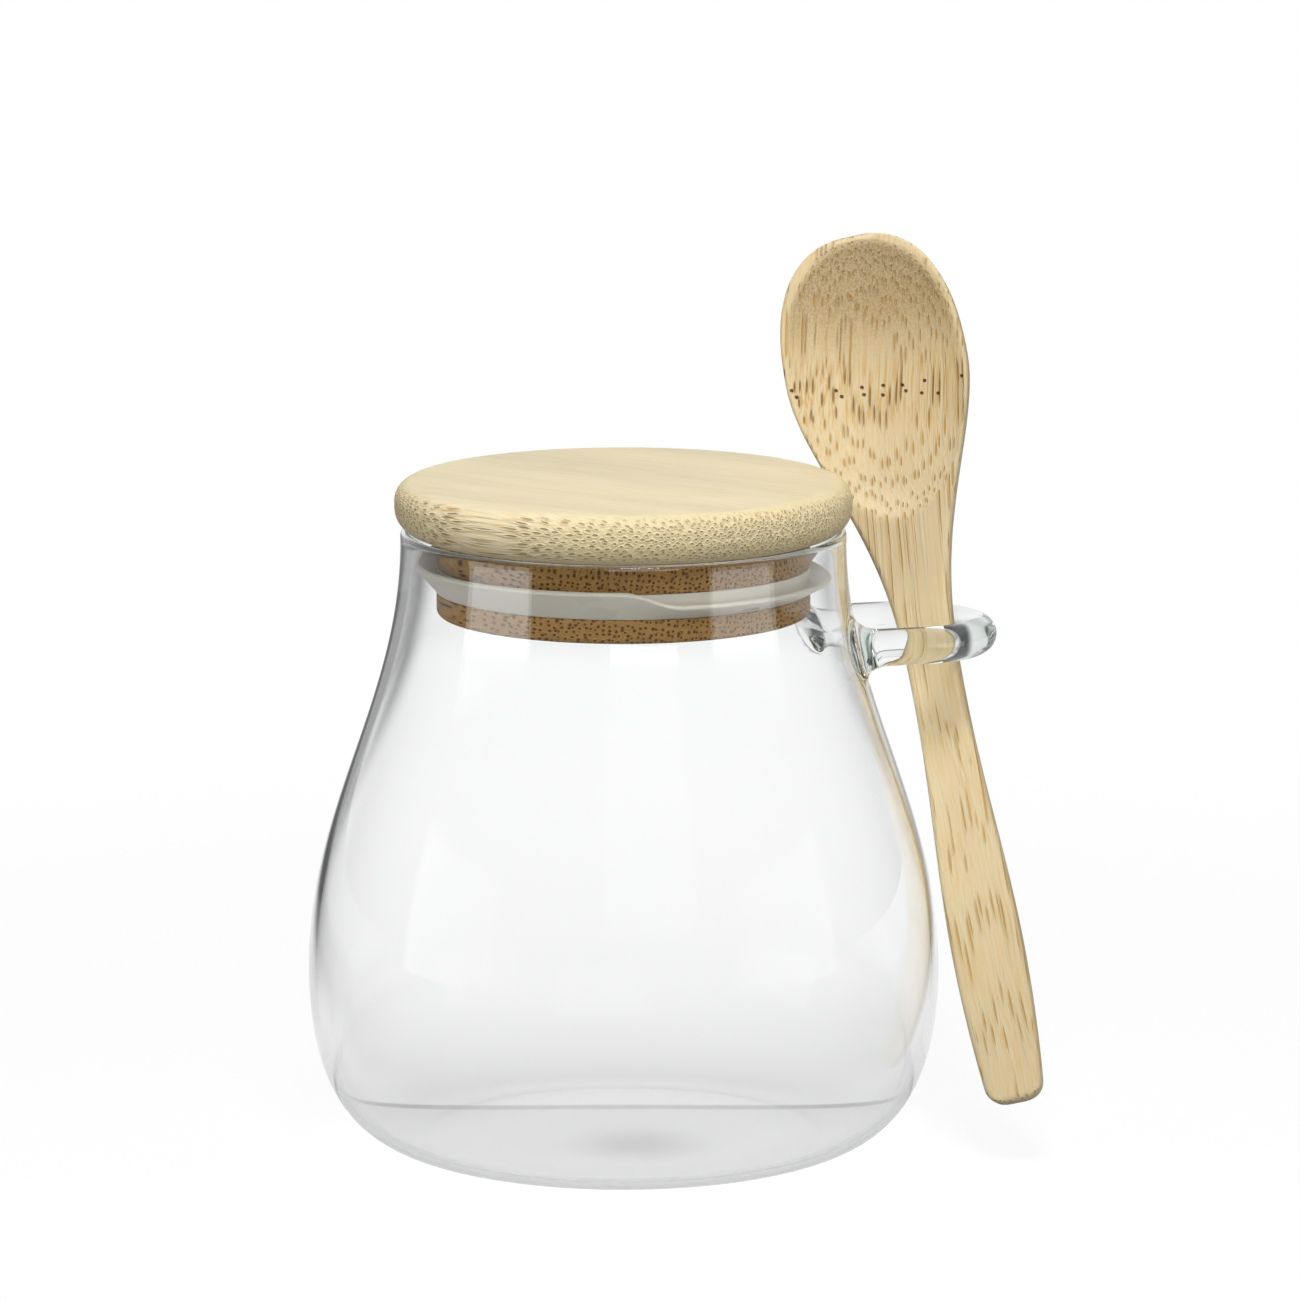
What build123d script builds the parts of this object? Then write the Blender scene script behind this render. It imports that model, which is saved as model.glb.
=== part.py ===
from build123d import *
from math import sqrt
import os

os.makedirs("parts", exist_ok=True)

# A blown glass jam pot with a bamboo lid, a silicone seal and a bamboo spoon.
# Millimetres, +Z up. The origin is the centre of the flat base, and the spoon's loop points along +X.

# Glass jar
jar_height = 98.4  # top of the rim
rim_radius = 35.1  # outside of the rim
belly_radius = 50.0  # outside of the widest ring
belly_height = 28.0  # height of the widest ring
foot_radius = 31.0  # flat face that the jar stands on
heel_reach = 12.5  # pull of the curve outwards along the base
heel_drop = 18.0  # pull of the curve down from the widest ring
belly_rise = 27.0  # pull of the curve up from the widest ring
neck_drop = 27.0  # pull of the curve down from the rim
rim_wall = 1.7
belly_wall = 1.2
base_thickness = 2.3
floor_inset = 1.0  # how much smaller the flat floor is than the foot
floor_dome = 1.2  # rise of the floor at its centre

# Glass loop for the spoon, a bent rod fused to the wall
rod_diameter = 5.9
loop_spacing = 23.6  # between the centre lines of the two legs
loop_stand = 7.8  # from the belly's reach, or the bowl's if that is wider, to the bend's centre line
loop_height = 79.3
weld_radius = 4.9  # widest part of each flared foot
weld_length = 4.2  # how far each foot runs out along its leg

# Bamboo lid
lid_overhang = 0.9  # how far the disc stands out past the rim
lid_thickness = 8.0
lid_top_round = 2.2
lid_under_round = 3.4
lid_gap = 0.1  # between the disc's rounded edge and the rim
plug_gap = 4.0  # between the plug and the inside of the rim
plug_drop = 13.2  # from the rim's top to the plug's underside
plug_foot = 3.9  # height of the plug below its groove
plug_round = 1.2
groove_height = 4.0
groove_depth = 1.5

# Silicone seal
seal_play = 0.05  # between the seal and its groove
seal_gap = 0.1  # between the lip and the inside of the rim
lip_rise = 5.0  # from the groove's floor to the lip's edge
lip_thickness = 0.9
lip_root = 1.6  # height of the lip where it leaves the plug
lip_round = 0.4

# Bamboo spoon
spoon_length = 142.0
bowl_width = 29.6
bowl_station = 120.0  # widest part of the bowl, from the handle's tip
neck_width = 8.7
neck_station = 65.0
handle_width = 11.4
handle_station = 22.0
handle_thickness = 4.4
bowl_thickness = 7.2
end_thickness = 2.2  # at the bowl's far end
end_taper = 3.0  # 1 thins evenly from the widest part, more thins later
edge_round = 1.2
bowl_round = 5.2  # rounding of the bowl's back
face_share = 0.25  # most of a section that the rounding of its face corners takes
back_share = 0.7  # most of a section that the rounding of its back corners takes
tip_fullness = 4.0  # 2 is an ellipse, more is squarer
bowl_fullness = 2.45
shoulder_bias = 1.5  # how late the neck widens into the bowl
hollow_station = 117.3  # middle of the hollow
hollow_length = 44.0
hollow_width = 26.0
hollow_depth = 4.2

# Sections that the spoon is lofted through, as shares of each of its stretches
tip_shares = (0.004, 0.03, 0.1, 0.25, 0.5, 0.8)
handle_shares = (0.0, 0.35, 0.7)
shoulder_shares = (0.0, 0.2, 0.4, 0.6, 0.8)
end_shares = (0.0, 0.25, 0.5, 0.7, 0.85, 0.94, 0.985, 0.998)

# How the spoon hangs in the loop
spoon_station = 76.7  # the part of the spoon that lies at the loop's height
spoon_gap = 0.5  # between the neck's edge and the bend
bowl_room = 14.0  # beside the lid, where the spoon's bowl hangs
spoon_turn = -26.0  # about +Z
spoon_lean = -18.0  # backwards, away from its hollow
spoon_tilt = -14.2  # sideways, towards the jar
spoon_set_back = 0.3  # along +Y from the loop's middle

# Places that follow from the sizes above
rim_round = rim_wall / 2
rim_base = jar_height - rim_round
rim_inside = rim_radius - rim_wall
lid_radius = rim_radius + lid_overhang
lid_flat = lid_radius - lid_under_round
edge_offset = max(0, rim_radius - rim_round - lid_flat)
edge_reach = rim_round + lid_under_round + lid_gap
lid_underside = rim_base + sqrt(edge_reach**2 - edge_offset**2) - lid_under_round
plug_radius = rim_inside - plug_gap
plug_underside = jar_height - plug_drop
groove_floor = plug_underside + plug_foot
groove_radius = plug_radius - groove_depth
rod_radius = rod_diameter / 2
leg_offset = loop_spacing / 2
loop_reach = max(belly_radius, lid_radius + bowl_room) + loop_stand
bend_centre = loop_reach - leg_offset


def wall_curves(foot, belly, rim, bottom):
    """Draw one face of the jar's wall, from its foot through the belly to the rim."""
    heel = (foot + heel_reach, bottom)
    below_belly = (belly, belly_height - heel_drop)
    above_belly = (belly, belly_height + belly_rise)
    below_rim = (rim, rim_base - neck_drop)
    lower = Bezier((foot, bottom), heel, below_belly, (belly, belly_height))
    upper = Bezier((belly, belly_height), above_belly, below_rim, (rim, rim_base))
    return lower, upper


# Jar: one revolved wall with a rounded, fire-polished rim
with BuildPart() as jar_body:
    with BuildSketch(Plane.XZ):
        with BuildLine():
            Line((0, 0), (foot_radius, 0))
            wall_curves(foot_radius, belly_radius, rim_radius, 0)
            rim_crest = (rim_radius - rim_round, jar_height)
            ThreePointArc((rim_radius, rim_base), rim_crest, (rim_inside, rim_base))
            inner_foot = foot_radius - floor_inset
            wall_curves(inner_foot, belly_radius - belly_wall, rim_inside, base_thickness)
            dome_top = base_thickness + floor_dome
            Bezier(
                (inner_foot, base_thickness),
                (inner_foot / 2, base_thickness),
                (inner_foot / 2, dome_top),
                (0, dome_top),
            )
            Line((0, dome_top), (0, 0))
        make_face()
    revolve(axis=Axis.Z)

# The jar's outer form without its hollow, which the loop's feet are cut to
with BuildPart() as jar_form:
    with BuildSketch(Plane.XZ):
        with BuildLine():
            Line((0, 0), (foot_radius, 0))
            outer_curves = wall_curves(foot_radius, belly_radius, rim_radius, 0)
            Line((rim_radius, rim_base), (0, rim_base))
            Line((0, rim_base), (0, 0))
        make_face()
    revolve(axis=Axis.Z)

with BuildLine(mode=Mode.PRIVATE):
    at_loop = IntersectingLine((0, loop_height), (1, 0), outer_curves[1])
wall_radius = (at_loop @ 1).X
leg_root = sqrt(wall_radius**2 - leg_offset**2)

# Loop: a U of round rod, its two legs flared where they are fused to the wall
with BuildPart() as spoon_loop:
    with BuildLine(Plane.XY.offset(loop_height)):
        leg_start = leg_root - weld_length
        front_leg = Line((leg_start, -leg_offset), (bend_centre, -leg_offset))
        CenterArc((bend_centre, 0), leg_offset, -90, 180)
        Line((bend_centre, leg_offset), (leg_start, leg_offset))
    with BuildSketch(Plane(front_leg @ 0, z_dir=front_leg % 0)):
        Circle(rod_radius)
    sweep()
    for side in (-1, 1):
        leg_axis = Axis((0, side * leg_offset, loop_height), (1, 0, 0))
        with BuildSketch(Plane.XZ.offset(-side * leg_offset)):
            with BuildLine():
                flare_end = leg_root + weld_length
                at_rod = (flare_end, loop_height + rod_radius)
                at_wall = (leg_root, loop_height + weld_radius)
                Line((leg_start, loop_height), (flare_end, loop_height))
                Line((flare_end, loop_height), at_rod)
                Bezier(at_rod, (leg_root + weld_length / 3, loop_height + rod_radius), at_wall)
                Line(at_wall, (leg_start, loop_height + weld_radius))
                Line((leg_start, loop_height + weld_radius), (leg_start, loop_height))
            make_face()
        revolve(axis=leg_axis)
    add(jar_form.part, mode=Mode.SUBTRACT)

# Lid disc: rests on the rim by its rounded lower edge
with BuildPart() as lid_disc:
    with BuildSketch(Plane.XY.offset(lid_underside)):
        Circle(lid_radius)
    extrude(amount=lid_thickness)
    fillet(lid_disc.edges().group_by(Axis.Z)[-1], lid_top_round)
    fillet(lid_disc.edges().group_by(Axis.Z)[0], lid_under_round)

# Lid plug: glued under the disc, with a groove for the seal
with BuildPart() as lid_plug:
    with BuildSketch(Plane.XY.offset(plug_underside)):
        Circle(plug_radius)
    extrude(amount=lid_underside - plug_underside)
    fillet(lid_plug.edges().group_by(Axis.Z)[0], plug_round)
    with BuildSketch(Plane.XY.offset(groove_floor)):
        Circle(plug_radius)
        Circle(groove_radius, mode=Mode.SUBTRACT)
    extrude(amount=groove_height, mode=Mode.SUBTRACT)

# Seal: a band in the groove, with a lip that flares up and out to the glass
with BuildPart() as seal_ring:
    with BuildSketch(Plane.XZ) as seal_section:
        with BuildLine():
            band_inside = groove_radius + seal_play
            band_bottom = groove_floor + seal_play
            band_top = groove_floor + groove_height - seal_play
            lip_edge = rim_inside - seal_gap
            lip_top = groove_floor + lip_rise
            Polyline(
                (band_inside, band_bottom),
                (plug_radius, band_bottom),
                (lip_edge, lip_top - lip_thickness / 2),
                (lip_edge - lip_thickness, lip_top),
                (plug_radius, groove_floor + lip_root),
                (plug_radius, band_top),
                (band_inside, band_top),
                close=True,
            )
        make_face()
        fillet(seal_section.vertices().sort_by(Axis.X)[-2:], lip_round)
    revolve(axis=Axis.Z)


def smooth(share):
    """Ease from 0 to 1 with level ends."""
    return share**2 * (3 - 2 * share)


def spoon_half_width(station):
    """Half the spoon's width at a station along it, from the handle's tip to the bowl's end."""
    handle, neck, bowl = handle_width / 2, neck_width / 2, bowl_width / 2
    if station < handle_station:
        share = 1 - station / handle_station
        return handle * (1 - share**tip_fullness) ** (1 / tip_fullness)
    if station < neck_station:
        share = (station - handle_station) / (neck_station - handle_station)
        return handle + (neck - handle) * smooth(share)
    if station < bowl_station:
        share = (station - neck_station) / (bowl_station - neck_station)
        return neck + (bowl - neck) * smooth(share**shoulder_bias)
    share = (station - bowl_station) / (spoon_length - bowl_station)
    return bowl * (1 - share**bowl_fullness) ** (1 / bowl_fullness)


def bowl_share(station):
    """How far a station is into the bowl: 0 along the handle and the neck, 1 from the widest part on."""
    share = (station - neck_station) / (bowl_station - neck_station)
    return smooth(min(1, max(0, share)))


def spoon_depth(station):
    """The spoon's thickness at a station: level along the handle, deeper under the bowl."""
    depth = handle_thickness + (bowl_thickness - handle_thickness) * bowl_share(station)
    end_share = max(0, (station - bowl_station) / (spoon_length - bowl_station))
    return depth - (depth - end_thickness) * end_share**end_taper


def corner_round(wanted, limit, half, depth):
    """A corner's rounding, kept to a share of the section's half width and depth."""
    return min(wanted, limit * half, limit * depth)


def spread(start, end, shares):
    """Stations at the given shares of the way from start to end."""
    return [start + share * (end - start) for share in shares]


# Where the spoon's sections are drawn, closer together towards its two ends
stations = spread(0, handle_station, tip_shares)
stations += spread(handle_station, neck_station, handle_shares)
stations += spread(neck_station, bowl_station, shoulder_shares)
stations += spread(bowl_station, spoon_length, end_shares)

# Where the spoon hangs: its plane has its face at y = 0 and runs up the spoon along z
spoon_centre = loop_reach - rod_radius - spoon_gap - spoon_half_width(spoon_station)
spoon_place = (
    Location((spoon_centre, spoon_set_back, loop_height))
    * Rotation(0, 0, spoon_turn)
    * Rotation(spoon_lean, 0, 0)
    * Rotation(0, spoon_tilt, 0)
    * Location((0, -handle_thickness / 2, -spoon_station))
)
spoon_plane = Plane(spoon_place)

# Spoon: rounded sections lofted along a straight axis, with a hollow scooped out of the bowl
with BuildPart() as spoon:
    for station in stations:
        half = spoon_half_width(station)
        depth = spoon_depth(station)
        back_round = edge_round + (bowl_round - edge_round) * bowl_share(station)
        with BuildSketch(spoon_plane.offset(station)) as section:
            with Locations((0, depth / 2)):
                Rectangle(2 * half, depth)
            face_corners = section.vertices().group_by(Axis.Y)[0]
            fillet(face_corners, corner_round(edge_round, face_share, half, depth))
            back_corners = section.vertices().group_by(Axis.Y)[-1]
            fillet(back_corners, corner_round(back_round, back_share, half, depth))
    loft()
    hollow_plane = spoon_plane.offset(hollow_station)
    hollow_sweep = ((hollow_length / 2) ** 2 + hollow_depth**2) / (2 * hollow_depth)
    hollow_pivot = hollow_plane.from_local_coords(Vector(0, hollow_depth - hollow_sweep, 0))
    with BuildSketch(hollow_plane):
        with BuildLine():
            rim_left = (-hollow_width / 2, 0)
            rim_right = (hollow_width / 2, 0)
            ThreePointArc(rim_left, (0, hollow_depth), rim_right)
            Line(rim_right, rim_left)
        make_face()
    revolve(axis=Axis(hollow_pivot, spoon_plane.x_dir), mode=Mode.SUBTRACT)

for name, piece in (
    ("jar_body", jar_body),
    ("spoon_loop", spoon_loop),
    ("lid_disc", lid_disc),
    ("lid_plug", lid_plug),
    ("seal_ring", seal_ring),
    ("spoon", spoon),
):
    piece.part.label = name
    export_step(piece.part, f"parts/{name}.step")
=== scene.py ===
from math import atan2, cos, hypot, pi, radians, sin, sqrt

import bmesh
import bpy
from bpy.props import FloatProperty, FloatVectorProperty, IntProperty, PointerProperty
from bpy.types import Operator, Panel, PropertyGroup
from mathutils import Euler, Matrix, Vector


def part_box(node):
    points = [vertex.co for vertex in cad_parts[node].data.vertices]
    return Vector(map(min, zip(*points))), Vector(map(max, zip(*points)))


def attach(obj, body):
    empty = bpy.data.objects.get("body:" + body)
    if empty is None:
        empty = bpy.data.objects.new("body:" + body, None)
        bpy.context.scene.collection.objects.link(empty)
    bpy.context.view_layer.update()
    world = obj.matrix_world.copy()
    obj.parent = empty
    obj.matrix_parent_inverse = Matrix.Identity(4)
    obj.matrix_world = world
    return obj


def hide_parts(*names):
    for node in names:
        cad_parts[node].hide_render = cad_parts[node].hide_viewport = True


bl_info = {
    "name": "Jam Pot",
    "version": (1, 0, 0),
    "blender": (4, 5, 0),
    "location": "View3D > Sidebar > Jam Pot",
    "description": "Dresses a jam pot: glass jar, bamboo lid, silicone seal, bamboo spoon and a white studio",
    "category": "Object",
}

MM = 0.001
WHITE = (1, 1, 1, 1)

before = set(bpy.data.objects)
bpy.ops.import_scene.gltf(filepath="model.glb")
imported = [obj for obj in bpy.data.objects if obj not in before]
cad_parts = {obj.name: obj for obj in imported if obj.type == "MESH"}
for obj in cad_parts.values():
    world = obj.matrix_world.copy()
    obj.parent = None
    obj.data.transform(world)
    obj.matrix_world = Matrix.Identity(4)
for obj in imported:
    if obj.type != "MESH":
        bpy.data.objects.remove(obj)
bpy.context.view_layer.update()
jar_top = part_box("jar_body")[1]
loop_low, loop_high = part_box("spoon_loop")
disc_low, disc_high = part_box("lid_disc")
plug_low, plug_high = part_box("lid_plug")
seal_low, seal_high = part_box("seal_ring")
loop_height = (loop_low.z + loop_high.z) / 2


# Properties

def number(name, description, default, **options):
    """A plain number."""
    return FloatProperty(name=name, description=description, default=default, **options)


def length(name, description, default):
    """A length in metres."""
    return number(name, description, default, unit="LENGTH", precision=5)


def mm(name, description, default):
    """A length, given in millimetres."""
    return length(name, description, default * MM)


def angle(name, description, default):
    """An angle, given in degrees."""
    return number(name, description, radians(default), subtype="ANGLE")


def share(name, description, default):
    """A share from 0 to 1."""
    return number(name, description, default, min=0, max=1, subtype="FACTOR")


def count(name, description, default):
    """A whole number of mesh steps."""
    return IntProperty(name=name, description=description, default=default, min=3)


def linear(level):
    """A display level from 0 to 255 as scene linear light."""
    value = level / 255
    return value / 12.92 if value <= 0.04045 else ((value + 0.055) / 1.055) ** 2.4


def colour(name, description, *levels):
    """A colour, given in display levels from 0 to 255."""
    default = [linear(level) for level in levels]
    options = {"name": name, "description": description, "default": default}
    return FloatVectorProperty(**options, min=0, max=1, subtype="COLOR")


class JarSettings(PropertyGroup):
    """The blown glass jar and the rod loop on its side."""
    height: length("Height", "Top of the rim", jar_top.z)
    belly_radius: length("Belly radius", "Outside of the widest ring", jar_top.x)
    belly_height: mm("Belly height", "Height of the widest ring", 28)
    rim_radius: mm("Rim radius", "Outside of the rim", 35.1)
    foot_radius: mm("Foot radius", "Flat ring that the jar stands on", 31)
    foot_flat: share("Foot flat", "Inner edge of that ring, against its outer edge", 0.86)
    heel_reach: mm("Heel reach", "Pull of the wall's curve along the base", 12.5)
    heel_drop: mm("Heel drop", "Pull of the wall's curve below the belly", 18)
    belly_rise: mm("Belly rise", "Pull of the wall's curve above the belly", 27)
    neck_drop: mm("Neck drop", "Pull of the wall's curve below the rim", 27)
    rim_wall: mm("Rim wall", "Thickness of the glass at the rim", 1.7)
    belly_wall: mm("Belly wall", "Thickness of the glass at the belly", 1.2)
    base_thickness: mm("Base thickness", "Thickness of the glass at the edge of the floor", 1.1)
    floor_inset: mm("Floor inset", "How much smaller the floor is than the foot", 0.6)
    floor_dome: mm("Floor dome", "Rise of the floor at its centre", 0.5)
    punt_rise: mm("Punt rise", "Rise of the underside at its centre", 0.35)
    rod_radius: mm("Rod radius", "Half the thickness of the loop's rod", 2.95)
    loop_spacing: mm("Loop spacing", "Between the centre lines of the loop's legs", 23.6)
    weld_spread: mm("Weld spread", "How far each weld flares out over the wall", 2.7)
    back_weld: share("Back weld", "Spread of the back weld, against the front one", 0.45)
    weld_length: mm("Weld length", "How far each weld runs out along its leg", 3.8)
    weld_wobble: share("Weld wobble", "How uneven each weld is", 0.07)
    segments: count("Segments", "Steps round the jar", 192)
    wall_rings: count("Wall rings", "Steps up each face of the wall", 84)
    rod_sides: count("Rod sides", "Steps round the rod", 40)
    bend_steps: count("Bend steps", "Steps along the bend", 44)
    refraction: number("Refraction", "Refractive index of the glass", 1.47)
    tint: colour("Tint", "Colour that thick glass keeps", 176, 196, 186)
    density: number("Density", "How strongly thick glass takes light, per metre", 26.0)
    body_shine: share("Body shine", "How strongly the wide body reflects, against the neck", 0.06)


class LidSettings(PropertyGroup):
    """The bamboo disc and the bamboo plug under it."""
    radius: length("Radius", "Outside of the disc", disc_high.x)
    underside: length("Underside", "Height of the disc's lower face", disc_low.z)
    top: length("Top", "Height of the disc's upper face", disc_high.z)
    top_round: mm("Top round", "Rounding of the upper edge", 3.0)
    under_round: mm("Under round", "Rounding of the lower edge", 3.9)
    plug_radius: length("Plug radius", "Outside of the plug", plug_high.x)
    plug_underside: length("Plug underside", "Height of the plug's lower face", plug_low.z)
    plug_round: mm("Plug round", "Rounding of the plug's lower edge", 1.2)
    plug_foot: mm("Plug foot", "Height of the plug below its groove", 3.9)
    groove_height: mm("Groove height", "Height of the groove for the seal", 4.0)
    groove_depth: mm("Groove depth", "Depth of the groove for the seal", 1.5)
    edge_break: mm("Edge break", "Sanding of the groove's edges", 0.25)
    segments: count("Segments", "Steps round the lid", 192)
    board: colour("Board", "Bamboo of the disc", 236, 222, 186)
    board_bundle: colour("Board bundles", "Fibre bundles of the disc", 192, 150, 70)
    board_across: colour("Board end grain", "End grain of the disc", 232, 215, 170)
    board_turn: angle("Board grain", "Grain of the disc, from +X", -52)
    stopper: colour("Stopper", "Bamboo of the plug", 164, 126, 70)
    stopper_bundle: colour("Stopper bundles", "Fibre bundles of the plug", 82, 54, 24)
    stopper_across: colour("Stopper end grain", "End grain of the plug", 156, 120, 68)
    stopper_turn: angle("Stopper grain", "Grain of the plug, from +X", -84)
    bundle_spacing: mm("Bundle spacing", "Between fibre bundles", 0.74)
    bundle_radius: mm("Bundle radius", "Half the thickness of a fibre bundle", 0.15)
    long_contrast: share("Long grain contrast", "How strongly bundles show along the grain", 0.7)
    end_contrast: share("End grain contrast", "How strongly bundles show across the grain", 0.52)
    calm_top: share("Calm top", "How strongly bundles show on the disc's top", 0.15)


class SealSettings(PropertyGroup):
    """The silicone ring in the plug's groove."""
    lip_radius: length("Lip radius", "Outside of the lip", seal_high.x)
    lip_high: length("High lip", "Height of the lip's edge where it stands up", seal_high.z)
    lip_fall: mm("Lip fall", "How much lower the edge is where it is tucked down", 2.3)
    bottom: length("Bottom", "Height of the ring's lower face", seal_low.z)
    band_height: mm("Band height", "Height of the band in the groove", 3.9)
    band_gap: mm("Band gap", "Between the band and the groove's floor", 0.05)
    lip_thickness: mm("Lip thickness", "Thickness of the lip", 0.9)
    lip_root: mm("Lip root", "Height of the lip where it leaves the plug", 1.55)
    edge_round: mm("Edge round", "Rounding of the lip's edge", 0.3)
    band_round: mm("Band round", "Rounding of the other edges", 0.1)
    tuck_start: angle("Tuck start", "Where the lip starts to fall, from +X", -96)
    tuck_end: angle("Tuck end", "Where the lip has risen again, from +X", 48)
    tuck_slope: angle("Tuck slope", "How long the lip takes to fall or rise", 16)
    segments: count("Segments", "Steps round the ring", 192)
    silicone: colour("Silicone", "Colour of the ring", 197, 192, 180)


class SpoonSettings(PropertyGroup):
    """The bamboo spoon and how it hangs in the loop. Stations are measured from the handle's tip."""
    length: mm("Length", "From the handle's tip to the bowl's end", 142)
    bowl_width: mm("Bowl width", "Widest part of the bowl", 29.6)
    bowl_station: mm("Bowl station", "Widest part of the bowl", 120)
    neck_width: mm("Neck width", "Narrowest part of the neck", 8.2)
    neck_station: mm("Neck station", "Narrowest part of the neck", 65)
    handle_width: mm("Handle width", "Widest part of the handle", 11.4)
    handle_station: mm("Handle station", "Widest part of the handle", 25)
    handle_thickness: mm("Handle thickness", "Thickness of the handle and the neck", 4.4)
    bowl_thickness: mm("Bowl thickness", "Thickness of the bowl before it is hollowed", 7.2)
    end_thickness: mm("End thickness", "Thickness of the bowl's end", 2.2)
    least_thickness: mm("Least thickness", "Wood left under the hollow", 1.6)
    edge_round: mm("Edge round", "Rounding of the edges", 1.2)
    bowl_round: mm("Bowl round", "Rounding of the bowl's back", 5.2)
    tip_width: mm("Tip width", "Width of the handle's blunt tip", 8.6)
    tip_round: mm("Tip round", "Rounding of the tip's corners", 2.8)
    bowl_fullness: number("Bowl fullness", "2 is an ellipse, more is squarer", 2.45)
    shoulder_bias: number("Shoulder bias", "How late the neck widens into the bowl", 1.5)
    end_taper: number("End taper", "How late the bowl thins towards its end", 3.0)
    hollow_low: mm("Hollow low", "Station of the hollow's lower tip", 95.3)
    hollow_deepest: mm("Hollow deepest", "Station of the hollow's deepest part", 121)
    hollow_high: mm("Hollow high", "Station of the hollow's upper end", 141.1)
    hollow_width: mm("Hollow width", "Width of the hollow", 28.2)
    hollow_depth: mm("Hollow depth", "Depth of the hollow", 4.2)
    hollow_fullness: number("Hollow fullness", "1 is a shallow bowl, less has a steeper edge", 0.8)
    hollow_lip: share("Hollow lip", "Softness of the hollow's edge", 0.02)
    hang_station: mm("Hang station", "Station that lies at the loop's height", 76.7)
    hang_gap: mm("Hang gap", "Between the neck's edge and the bend", 0.5)
    hang_back: mm("Hang back", "Along +Y from the loop's middle", 0.3)
    turn: angle("Turn", "Turn of the spoon about +Z", -26)
    lean: angle("Lean", "Lean backwards, away from the hollow", -18)
    tilt: angle("Tilt", "Tilt sideways, towards the jar", -14.2)
    node_station: mm("Node station", "Station of the row of pores across the bowl", 117)
    stations: count("Stations", "Steps along the spoon", 220)
    crowding: share("Crowding", "How much closer the steps are towards both ends", 0.14)
    wood: colour("Wood", "Bamboo of the spoon", 214, 196, 157)
    bundle: colour("Bundles", "Fibre bundles of the spoon", 197, 150, 70)
    across: colour("End grain", "End grain of the spoon", 224, 206, 168)
    bundle_spacing: mm("Bundle spacing", "Between fibre bundles", 0.88)
    bundle_radius: mm("Bundle radius", "Half the thickness of a fibre bundle", 0.135)
    long_contrast: share("Long grain contrast", "How strongly bundles show along the grain", 0.85)
    end_contrast: share("End grain contrast", "How strongly bundles show across the grain", 0.8)


class StageSettings(PropertyGroup):
    """The floor, the lamps and the camera. Levels in the glass are what the glass shows of the room."""
    azimuth: angle("Azimuth", "Where the camera stands, from -Y towards +X", -14)
    elevation: angle("Elevation", "How far the camera looks down", 11.78)
    distance: length("Distance", "From the camera to the jar's middle", 1.2)
    look_height: length("Look height", "Height of the jar's middle", 0.05)
    aim_right: number("Aim right", "Turn of the camera to the right, as a slope", 0.0035)
    aim_up: number("Aim up", "Turn of the camera upwards, as a slope", 0.0238)
    focal: number("Focal length", "Lens in millimetres, on a sensor 36 mm wide", 209.7)
    floor_radius: length("Floor radius", "Reach of the floor", 8.0)
    shadow_radius: length("Shadow radius", "Where the floor stops showing shadow", 0.35)
    shadow_share: share("Shadow share", "How strongly shadow shows on the floor", 0.1)
    table_edge: length("Table edge", "Back edge of the table, behind the pot", 0.0178)
    table_level: share("Table level", "Table, in the glass", 0.62)
    wall_level: share("Wall level", "Foot of the wall, in the glass", 0.72)
    wall_fade: length("Wall fade", "How slowly the wall brightens upwards", 0.055)
    side_level: share("Side level", "Sides of the studio, in the glass", 0.12)
    front_level: share("Front level", "Dark room behind the camera, in the glass", 0.05)
    rear_level: share("Rear level", "That room, straight through the glass from behind", 0.92)
    roof_level: share("Roof level", "Dark roof, in the glass", 0.15)
    sky_level: share("Sky level", "Light from all round", 0.21)
    top_level: number("Top lamp level", "Light of the top lamp's face", 29.5)
    top_size: length("Top lamp size", "Width of the top lamp", 0.16)
    top_distance: length("Top lamp distance", "From the pot to the top lamp", 0.7)
    top_rise: angle("Top lamp rise", "How high the top lamp stands", 72)
    top_turn: angle("Top lamp turn", "Top lamp, from the camera", 12)
    fill_level: number("Fill lamp level", "Light of the fill lamp's face", 3.2)
    fill_size: length("Fill lamp size", "Width of the fill lamp", 0.6)
    fill_distance: length("Fill lamp distance", "From the pot to the fill lamp", 1.0)
    fill_rise: angle("Fill lamp rise", "How high the fill lamp stands", 30)
    fill_turn: angle("Fill lamp turn", "Fill lamp, from the camera", 10)
    back_level: number("Back lamp level", "Light of the back lamp's face", 2.0)
    back_size: length("Back lamp size", "Width of the back lamp", 0.5)
    back_rise: angle("Back lamp rise", "How high the back lamp stands", 12)
    left_level: number("Left softbox level", "Light of the left softbox's face", 2.7)
    right_level: number("Right softbox level", "Light of the right softbox's face", 2.1)
    box_width: length("Softbox width", "Width of each softbox", 0.272)
    box_height: length("Softbox height", "Height of each softbox", 0.17)
    box_distance: length("Softbox distance", "From the jar to each softbox", 0.42)
    box_left: angle("Left softbox", "Left softbox, from the camera", -65)
    box_right: angle("Right softbox", "Right softbox, from the camera", 62)
    box_middle: length("Softbox middle", "Height of each softbox's middle", 0.09)


class JamPotSettings(PropertyGroup):
    """All sizes and colours of the jam pot."""
    jar: PointerProperty(type=JarSettings, name="Jar", description="Glass jar and loop")
    lid: PointerProperty(type=LidSettings, name="Lid", description="Bamboo lid")
    seal: PointerProperty(type=SealSettings, name="Seal", description="Silicone seal")
    spoon: PointerProperty(type=SpoonSettings, name="Spoon", description="Bamboo spoon")
    stage: PointerProperty(type=StageSettings, name="Stage", description="Floor, lamps and camera")


# Shader nodes

class Made:
    """A shader node, whose outputs are taken by name or number."""

    def __init__(self, node):
        self.node = node

    def __getitem__(self, key):
        return Term(self.node.outputs[key])


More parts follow.
